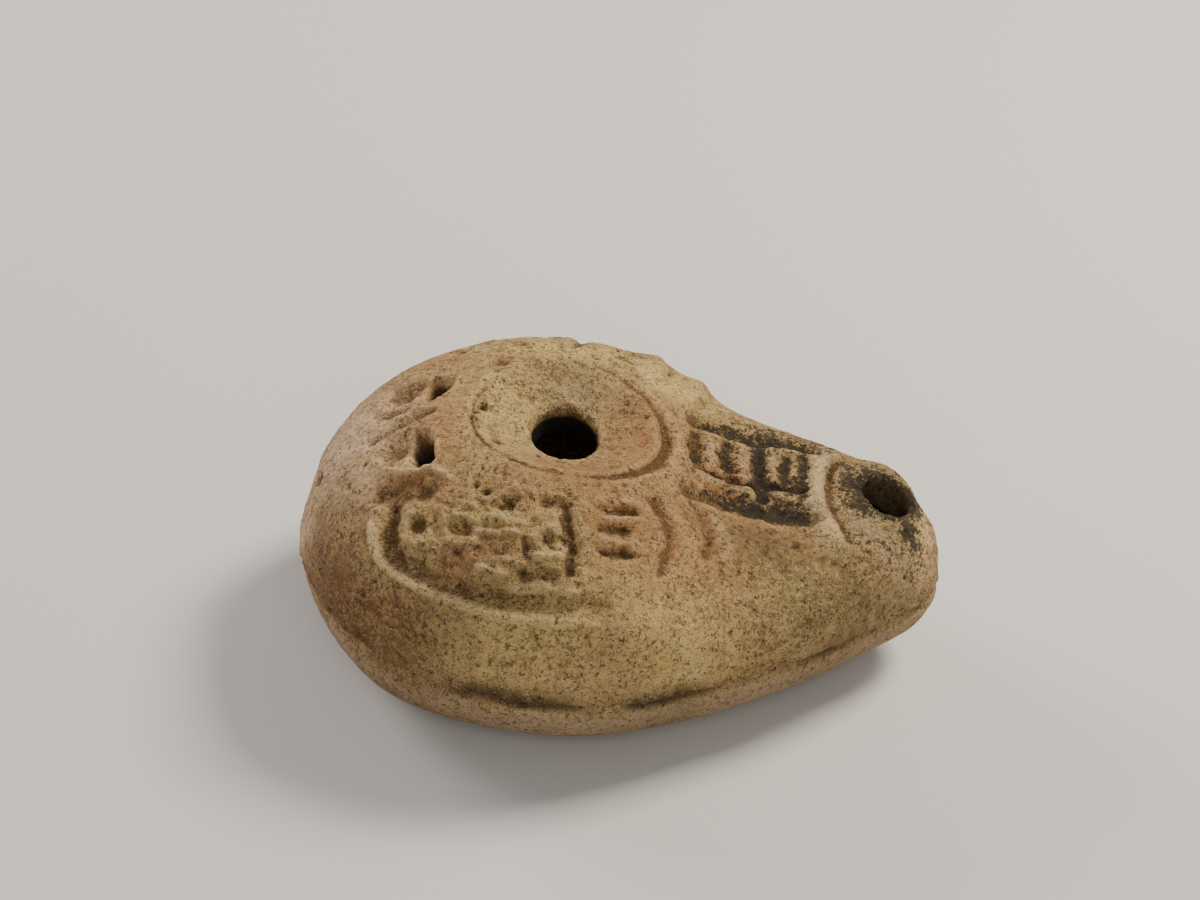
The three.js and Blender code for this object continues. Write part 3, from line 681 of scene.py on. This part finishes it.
# The reservoir is the hollow left by pressing the clay against the mould, a wall's thickness inside.
# Two holes open into it: the filling hole in the dish and the wick hole near the tip.
WALL = 4.0
FLOOR_THICKNESS = 5.0
RESERVOIR_SPOKES = 64
RESERVOIR_FLANK_RINGS = 14
RESERVOIR_BELLY_RINGS = 8
reservoir_circles = np.linspace(2, DISH_RADIUS, 5)
reservoir = closed_mesh("reservoir", np.concatenate(skin_rings(
    RESERVOIR_SPOKES, reservoir_circles, RESERVOIR_FLANK_RINGS, RESERVOIR_BELLY_RINGS,
    WALL, 0.0, FLOOR_THICKNESS)))
PLUG_TOP = 5
PLUG_BOTTOM = -8
PLUG_RINGS = 27
PLUG_SIDES = 72


def plug(name, mouth, direction, radius, oval, seed):
    """A rough plug through the clay, oval across, its radius swelling and shrinking with noise."""
    direction = np.array(direction) / np.linalg.norm(direction)
    side = np.cross([0, 1, 0], direction)
    side /= np.linalg.norm(side)
    other = np.cross(direction, side)
    angle = np.linspace(0, 2 * np.pi, PLUG_SIDES, endpoint=False)
    around = np.cos(angle)[:, None] * side + oval * np.sin(angle)[:, None] * other
    height = np.linspace(PLUG_TOP, PLUG_BOTTOM, PLUG_RINGS)[:, None, None]
    line = mouth + height * direction + radius * around
    rough = 1 + 0.06 * clay_noise(line, 2.6, seed) + 0.03 * clay_noise(line, 0.9, seed + 1)
    return closed_mesh(name, mouth + height * direction + radius * rough[..., None] * around)


def top_normal(x, y, reach=0.5):
    """Normal of the top from its slopes over a short reach."""
    slope_x = (top_height(x + reach, y) - top_height(x - reach, y)) / (2 * reach)
    slope_y = (top_height(x, y + reach) - top_height(x, y - reach)) / (2 * reach)
    return np.array([-float(slope_x), -float(slope_y), 1.0])


hole_mouth = np.array([HOLE_X - HOLE_SHIFT, HOLE_Y, float(top_height(np.array(HOLE_X + HOLE_RADIUS), 0.0))])
wick_mouth = np.array([WICK_X, WICK_Y, float(top_height(np.array(WICK_X), WICK_Y))])
wick_axis = top_normal(np.array(WICK_X), WICK_Y)
hollows = [
    reservoir,
    plug("filling_plug", hole_mouth, (0, 0, 1), HOLE_RADIUS, HOLE_OVAL, seed=11),
    plug("wick_plug", wick_mouth, wick_axis, WICK_RADIUS, WICK_OVAL, seed=13),
]
for tool in hollows:
    cut = lamp.modifiers.new(tool.name, "BOOLEAN")
    cut.operation = "DIFFERENCE"
    cut.solver = "MANIFOLD"
    cut.object = tool
carved = bpy.data.meshes.new_from_object(lamp.evaluated_get(bpy.context.evaluated_depsgraph_get()))
lamp.modifiers.clear()
lamp.data = carved
for tool in hollows:
    bpy.data.objects.remove(tool)
lamp.data.shade_smooth()

# The clay down both holes and inside is painted dark as shade. Its layer is worked out on the carved mesh:
# full down the filling hole, less down the wick hole, and faint within.
WICK_SHADE = 0.68
WITHIN_SHADE = 0.2
FILLING_HOLE_LENGTH = 6
WICK_HOLE_LENGTH = 9
points = np.empty(len(lamp.data.vertices) * 3, np.float32)
lamp.data.vertices.foreach_get("co", points)
points = points.reshape(-1, 3) / MM
px, py, pz = points.T
hole_fall = float(hole_mouth[2]) - pz
in_hole = np.hypot(px - hole_mouth[0], (py - HOLE_Y) / HOLE_OVAL) < HOLE_RADIUS * 1.22
down_hole = in_hole * step(hole_fall, -0.3, 0.6) * (hole_fall < FILLING_HOLE_LENGTH)
wick_axis /= np.linalg.norm(wick_axis)
from_mouth = points - wick_mouth
wick_fall = -from_mouth @ wick_axis
beside = np.linalg.norm(from_mouth + wick_fall[:, None] * wick_axis, axis=-1)
in_wick_hole = beside < WICK_RADIUS * WICK_OVAL * 1.12
down_wick = in_wick_hole * step(wick_fall, -0.4, 1.4) * (wick_fall < WICK_HOLE_LENGTH)
under_roof = pz < top_height(px, py, WALL - 0.6)
within = (np.abs(py) < half_width(px, WALL - 0.5)) * under_roof * (pz > FLOOR_THICKNESS - 0.4)
inside_shade_layer = lamp.data.attributes.new("inside", "FLOAT", "POINT")
inside_shade_layer.data.foreach_set("value", np.maximum.reduce(
    [down_hole, WICK_SHADE * down_wick, WITHIN_SHADE * within]).astype(np.float32))


# The clay is unglazed and fired buff to reddish. Its colour is laid up layer by layer over a fine speckle:
# the body's tones, the stains, dirt, pores, pale crumbs and soot, with painted shade in hollows, grooves,
# the seam, deep cuts, brown patches and down the holes, and painted light on crests, cream patches, the
# rear's end and the tip. The bump follows the same speckle, so that what is dark lies low.
class Signal:
    """A socket of the clay's nodes. +, - and * on signals add Math nodes; node() adds any other."""
    nodes = links = None

    def __init__(self, socket):
        self.socket = socket

    @classmethod
    def node(cls, kind, settings, sockets, output=0):
        made = cls.nodes.new(kind)
        for name, value in settings.items():
            setattr(made, name, value)
        for name, value in sockets.items():
            if isinstance(value, Signal):
                cls.links.new(value.socket, made.inputs[name])
            else:
                made.inputs[name].default_value = value
        return cls(made.outputs[output])

    def maths(self, operation, *values):
        return self.node("ShaderNodeMath", {"operation": operation}, dict(enumerate(values)))

    def __add__(self, other):
        return self.maths("ADD", self, other)

    def __sub__(self, other):
        return self.maths("SUBTRACT", self, other)

    def __rsub__(self, other):
        return self.maths("SUBTRACT", other, self)

    def __mul__(self, other):
        return self.maths("MULTIPLY", self, other)

    __radd__ = __add__
    __rmul__ = __mul__

    def between(self, start, end):
        """0 below start, 1 above end, smooth between."""
        return self.node("ShaderNodeMapRange", {"interpolation_type": "SMOOTHSTEP"},
                         {"Value": self, "From Min": start, "From Max": end})

    def size(self):
        """The value without its sign."""
        return self.maths("ABSOLUTE", self)

    def limited(self):
        """The value held between 0 and 1."""
        return self.node("ShaderNodeMath", {"operation": "ADD", "use_clamp": True}, {0: self, 1: 0.0})


clay = bpy.data.materials.new("fired_clay")
clay.use_nodes = True
Signal.nodes, Signal.links = clay.node_tree.nodes, clay.node_tree.links
clay_shader = clay.node_tree.nodes["Principled BSDF"]
place = Signal.node("ShaderNodeTexCoord", {}, {}, "Object")


def mesh_layer(name):
    """A layer of the mesh."""
    return Signal.node("ShaderNodeAttribute", {"attribute_name": name}, {}, "Fac")


def cloud(size_mm, detail, roughness=0.55, shift=0.0):
    """Noise from 0 to 1 with blotches of about this size."""
    moved = Signal.node("ShaderNodeVectorMath", {"operation": "ADD"}, {0: place, 1: (shift, shift, shift)})
    return Signal.node("ShaderNodeTexNoise", {}, {"Vector": moved, "Scale": 1 / (size_mm * MM),
                                                  "Detail": detail, "Roughness": roughness}, 0)


def tinted(under, over, amount):
    """One colour laid over another."""
    return Signal.node("ShaderNodeMix", {"data_type": "RGBA"}, {0: amount, 6: under, 7: over}, 2)


raised, grooved, seam_dirt, pit_shade_and_dirt = mesh_layer("cavity"), mesh_layer("recess"), mesh_layer("seam"), mesh_layer("pit_shade_and_dirt")
soot, rose, broken, brown_and_shade = mesh_layer("soot"), mesh_layer("rose"), mesh_layer("broken"), mesh_layer("brown_and_shade")
blush_and_rim_light, cream_and_light, ashen, tip = mesh_layer("blush_and_rim_light"), mesh_layer("cream_and_light"), mesh_layer("ashen"), mesh_layer("tip")
olive, belly_tone, worn_crest_and_highlight, crumbly = mesh_layer("olive"), mesh_layer("belly"), mesh_layer("worn_crest_and_highlight"), mesh_layer("crumbled")
inside = mesh_layer("inside")

# Speckle is blotches, grains and grit together. Dark pinholes are specks, ridged cracks and pits, and
# chips are pale crumbs.
broad = cloud(9, 3)
mottle = cloud(2.6, 4, 0.6, 0.31).between(0.3, 0.7)
grain = cloud(0.75, 4, 0.7, 0.77).between(0.3, 0.7)
grit = cloud(0.3, 3, 0.75, 0.13).between(0.3, 0.7)
lumps = cloud(1.2, 4, 0.62, 0.47).between(0.3, 0.7)
speckle = 0.25 * mottle + 0.35 * grain + 0.4 * grit
more_holes = crumbly * 0.012
specks = cloud(0.34, 2, 0.6, 0.41).between(0.6, 0.68) * cloud(2.1, 2, 0.5, 0.53).between(0.42, 0.58)
cracks = ((1 - (cloud(1.5, 3, 0.62, 0.17) - 0.5).size().between(0.012, 0.035))
          * (cloud(1.1, 2, 0.5, 0.59) + more_holes).between(0.55, 0.62))
pits = (cloud(0.85, 3, 0.65, 0.29) + more_holes).between(0.64, 0.7)
pinholes = (specks * 0.55 + cracks * 0.6 + pits * 0.9).limited()
chips = 1 - (cloud(0.42, 3, 0.65, 0.83) - crumbly * 0.03).between(0.32, 0.4)

DARK_CLAY = (0.15, 0.085, 0.034, 1)
BUFF_CLAY = (0.47, 0.312, 0.132, 1)
DULL_CLAY = (0.31, 0.22, 0.098, 1)
CREAM_AND_LIGHT_CLAY = (0.68, 0.50, 0.185, 1)
BELLY_CLAY = (0.375, 0.27, 0.168, 1)
ROSE_CLAY = (0.38, 0.18, 0.072, 1)
BROWN_AND_SHADE_CLAY = (0.145, 0.066, 0.025, 1)
OLIVE_CLAY = (0.15, 0.105, 0.045, 1)
BLUSH_AND_RIM_LIGHT_CLAY = (0.68, 0.47, 0.30, 1)
TIP_PALE_AND_LIT_CLAY = (0.66, 0.44, 0.22, 1)
ASHEN_CLAY = (0.40, 0.31, 0.18, 1)
BROKEN_CLAY = (0.42, 0.175, 0.09, 1)
WORN_EDGE_AND_HIGHLIGHT = (0.67, 0.48, 0.24, 1)
GROOVE_DIRT_AND_SHADE = (0.10, 0.053, 0.021, 1)
SEAM_SHADE_AND_DIRT = (0.07, 0.044, 0.022, 1)
PINHOLE = (0.065, 0.036, 0.016, 1)
PALE_CRUMB = (0.78, 0.62, 0.39, 1)
SOOT = (0.034, 0.028, 0.019, 1)
PIT_SHADE_AND_DIRT = (0.042, 0.029, 0.02, 1)
INSIDE_SHADE = (0.012, 0.0095, 0.007, 1)

color = tinted(DARK_CLAY, BUFF_CLAY, speckle.between(0.2, 0.75))
color = tinted(color, DULL_CLAY, broad.between(0.4, 0.7) * 0.55)
# Cream tone and painted light.
color = tinted(color, CREAM_AND_LIGHT_CLAY, (cream_and_light * (speckle * 1.7)).limited() * 0.85)
color = tinted(color, BELLY_CLAY, belly_tone * (0.3 + speckle))
color = tinted(color, ROSE_CLAY, (rose * (speckle * 1.1 + 0.2)).limited())
# Brown tone and painted shade.
color = tinted(color, BROWN_AND_SHADE_CLAY, (brown_and_shade * (1.4 - speckle * 1.2)).limited())
color = tinted(color, OLIVE_CLAY, (olive * (1.4 - speckle * 1.2)).limited() * 0.9)
# Pale rear, with painted rim light along its end.
color = tinted(color, BLUSH_AND_RIM_LIGHT_CLAY, (blush_and_rim_light * (speckle * 1.5 + 0.1)).limited())
# Pale tip, partly painted light.
color = tinted(color, TIP_PALE_AND_LIT_CLAY, (tip * (speckle * 1.4 + 0.1)).limited())
color = tinted(color, ASHEN_CLAY, (ashen * (speckle * 1.2 + 0.2)).limited())
color = tinted(color, BROKEN_CLAY, (broken + (speckle - 0.5) * 1.6).between(0.3, 0.9) * 0.7)
# Wear and a painted highlight lighten ridges, crests and the seam's lip.
color = tinted(color, WORN_EDGE_AND_HIGHLIGHT, ((raised * 1.3 + worn_crest_and_highlight * 0.6) * (0.4 + speckle)).limited() * 0.8)
# Dirt and painted shade darken hollows and grooves, and ridges are spared.
dirt = (grooved * 0.6 + raised * -1.4 + (0.5 - speckle) * 0.55).between(0.1, 0.85)
color = tinted(color, GROOVE_DIRT_AND_SHADE, dirt * 0.85)
# Painted shade along the seam, with dirt in its gap.
color = tinted(color, SEAM_SHADE_AND_DIRT, (seam_dirt + (speckle - 0.5) * 1.1).between(0.3, 0.85) * 0.85)
color = tinted(color, PINHOLE, pinholes * 0.85)
color = tinted(color, PALE_CRUMB, chips * (0.42 + crumbly * 0.2))
sooty = (soot + (0.5 - grain) * 0.8 + (mottle - 0.5) * 0.5 + (0.3 - grit) * 0.5).between(0.15, 0.65)
color = tinted(color, SOOT, sooty * 0.9)
# Painted shade and dirt darken the deep cuts.
color = tinted(color, PIT_SHADE_AND_DIRT, pit_shade_and_dirt * 0.85)
# Painted shade down the holes, and faintly within.
color = tinted(color, INSIDE_SHADE, inside)

BUMP_DEPTH = 0.7 * MM
height = speckle * (0.25 + 0.25 * crumbly) + lumps * (0.28 + 0.5 * crumbly) - pinholes * 0.5 + chips * 0.12
bump = Signal.node("ShaderNodeBump", {}, {"Strength": 1.0, "Distance": BUMP_DEPTH, "Height": height},
                   "Normal")
clay_shader.inputs["Specular IOR Level"].default_value = 0.15
Signal.links.new(color.socket, clay_shader.inputs["Base Color"])
Signal.links.new((0.93 - sooty * 0.15).socket, clay_shader.inputs["Roughness"])
Signal.links.new(bump.socket, clay_shader.inputs["Normal"])
lamp.data.materials.clear()
lamp.data.materials.append(clay)
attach(lamp, "root")
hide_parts("lamp_body")

# A plain pale table stands under the lamp, with soft studio light: a warm key behind it to the
# right, a rim light to the left, and a weak fill in front.
TABLE_COLOR = (0.62, 0.6, 0.57, 1)
TABLE_HALF = 1.5
TABLE_ROUGHNESS = 0.9
LAMP_MIDDLE = Vector((0, 0, 0.02))
WORLD_COLOR = (0.97, 0.96, 1, 1)
WORLD_STRENGTH = 0.25


def plain_table():
    """One square face at the height of the lamp's foot."""
    corners = [(-TABLE_HALF, -TABLE_HALF, 0), (TABLE_HALF, -TABLE_HALF, 0),
               (TABLE_HALF, TABLE_HALF, 0), (-TABLE_HALF, TABLE_HALF, 0)]
    mesh = bpy.data.meshes.new("table")
    mesh.from_pydata(corners, [], [(0, 1, 2, 3)])
    table = bpy.data.objects.new("table", mesh)
    bpy.context.collection.objects.link(table)
    material = bpy.data.materials.new("table")
    material.use_nodes = True
    shader = material.node_tree.nodes["Principled BSDF"]
    shader.inputs["Base Color"].default_value = TABLE_COLOR
    shader.inputs["Roughness"].default_value = TABLE_ROUGHNESS
    mesh.materials.append(material)


def soft_light(name, place, size, power, color):
    """An area light at the place, turned to face the lamp."""
    light = bpy.data.lights.new(name, "AREA")
    light.size = size
    light.energy = power
    light.color = color
    holder = bpy.data.objects.new(name, light)
    holder.location = place
    holder.rotation_euler = (LAMP_MIDDLE - Vector(place)).to_track_quat("-Z", "Y").to_euler()
    bpy.context.collection.objects.link(holder)


plain_table()
soft_light("key", (0.34, 0.22, 0.5), 0.2, 5.5, (1.0, 0.945, 0.82))
soft_light("rim", (-0.55, 0.4, 0.3), 0.3, 3.8, (1.0, 0.93, 0.92))
soft_light("fill", (0.05, -0.6, 0.4), 0.5, 1.9, (1.0, 0.98, 0.94))
world = bpy.data.worlds.new("studio")
world.use_nodes = True
world.node_tree.nodes["Background"].inputs["Color"].default_value = WORLD_COLOR
world.node_tree.nodes["Background"].inputs["Strength"].default_value = WORLD_STRENGTH
bpy.context.scene.world = world
